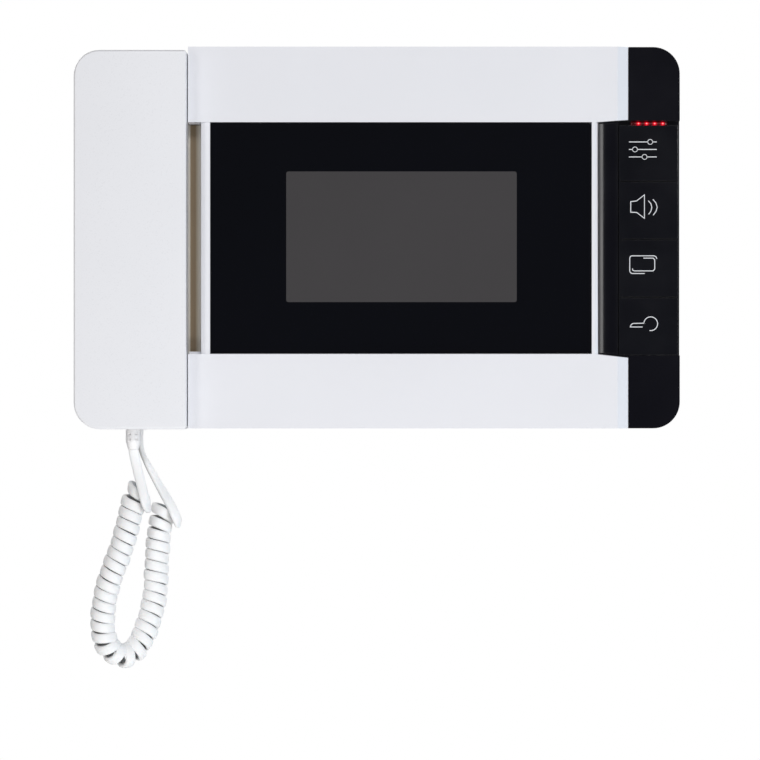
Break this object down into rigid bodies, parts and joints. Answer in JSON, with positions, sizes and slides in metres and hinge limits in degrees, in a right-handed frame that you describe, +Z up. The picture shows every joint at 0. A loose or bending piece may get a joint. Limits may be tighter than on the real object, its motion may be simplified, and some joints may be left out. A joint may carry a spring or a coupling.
{
  "type": "video intercom monitor",
  "caption": "Wall-hung video intercom monitor: a white frame around a dark display window, a column of black keys, and a lift-off handset at the side on a curly cord.",
  "frame": {"origin": "on the wall plane, at the middle of the four wall-screw holes of the steel bracket, which is the middle of the body", "axes": "+X to the right along the body's length as seen from the room, +Y into the wall (the front faces -Y), +Z up"},
  "size_m": [0.2495, 0.047, 0.257],
  "materials": {
    "white_gloss": "gloss moulded ABS",
    "white_satin": "fine satin moulded ABS",
    "handset_white": "soft gloss moulded ABS",
    "black_gloss": "gloss moulded ABS",
    "key_black": "gloss moulded keys",
    "window_black": "tinted acrylic, gloss",
    "lcd_glass": "dark polarised glass",
    "zinc_steel": "zinc plated sheet",
    "steel": "bright plated steel",
    "tin_steel": "tinned steel sheet",
    "board_green": "solder-masked laminate",
    "black_plastic": "moulded thermoplastic",
    "grey_plastic": "moulded thermoplastic",
    "ferrite": "ferrite core with yellow tape",
    "capacitor_sleeve": "sleeved aluminium can",
    "relay_blue": "moulded cover",
    "terminal_green": "moulded block",
    "fuse_glass": "glass tube in spring clips",
    "led_red": "clear red, lit",
    "film_amber": "polyimide film",
    "ribbon_grey": "flat ribbon cable",
    "rubber_black": "soft rubber",
    "foam_black": "foam or felt",
    "wire_red": "insulated wire",
    "weight_steel": "plain steel bar",
    "cord_white": "soft PVC jacket"
  },
  "bodies": {
    "base": {"wall_bracket": "zinc_steel", "rear_cover": "white_satin", "case_screws": "steel", "cradle": "white_satin", "front_housing": "white_satin", "front_frame": "white_gloss", "side_panel": "black_gloss", "display_window": "window_black", "window_tape": "foam_black", "lcd_panel": "lcd_glass", "lcd_backlight": "tin_steel", "lcd_bracket": "grey_plastic", "lcd_ribbon": "film_amber", "main_board": "board_green", "board_screws": "steel", "power_transformer": "ferrite", "capacitors": "capacitor_sleeve", "door_relay": "relay_blue", "mains_fuse": "fuse_glass", "control_chips": "black_plastic", "terminal_block": "terminal_green", "terminal_screws": "steel", "key_board": "board_green", "tact_switches": "tin_steel", "status_leds": "led_red", "led_lens": "led_red", "key_board_ribbon": "ribbon_grey", "loudspeaker": "grey_plastic", "speaker_gasket": "foam_black", "speaker_lead": "wire_red", "hook_spring": "steel", "hook_switch": "black_plastic", "base_boot": "cord_white", "cord_coil": "cord_white", "cord_tail_base": "cord_white"},
    "handset": {"handset_front_shell": "handset_white", "handset_back_shell": "handset_white", "earpiece_capsule": "grey_plastic", "earpiece_felt": "foam_black", "mouthpiece_capsule": "tin_steel", "mouthpiece_boot": "rubber_black", "handset_weight": "weight_steel", "handset_lead": "wire_red", "handset_screws": "steel", "screw_plugs": "handset_white", "handset_boot": "cord_white", "cord_tail_handset": "cord_white"},
    "hook": {"hook_plunger": "white_satin"},
    "key_settings": {"key_settings": "key_black"},
    "key_talk": {"key_talk": "key_black"},
    "key_monitor": {"key_monitor": "key_black"},
    "key_unlock": {"key_unlock": "key_black"}
  },
  "joints": [
    {"name": "handset_lift", "type": "slide", "parent": "base", "child": "handset", "axis": [0, -1, 0], "range_m": [0, 0.07]},
    {"name": "hook_travel", "type": "slide", "parent": "base", "child": "hook", "axis": [0, -1, 0], "range_m": [0, 0.0035], "deforming": ["hook_spring"]},
    {"name": "key_settings_press", "type": "slide", "parent": "base", "child": "key_settings", "axis": [0, 1, 0], "range_m": [0, 0.0008], "stiffness_N_per_m": 800, "springref_m": -0.0005},
    {"name": "key_talk_press", "type": "slide", "parent": "base", "child": "key_talk", "axis": [0, 1, 0], "range_m": [0, 0.0008], "stiffness_N_per_m": 800, "springref_m": -0.0005},
    {"name": "key_monitor_press", "type": "slide", "parent": "base", "child": "key_monitor", "axis": [0, 1, 0], "range_m": [0, 0.0008], "stiffness_N_per_m": 800, "springref_m": -0.0005},
    {"name": "key_unlock_press", "type": "slide", "parent": "base", "child": "key_unlock", "axis": [0, 1, 0], "range_m": [0, 0.0008], "stiffness_N_per_m": 800, "springref_m": -0.0005}
  ],
  "couplings": [
    {"joint": "hook_travel", "follows": "handset_lift", "ratio": 0.05}
  ]
}
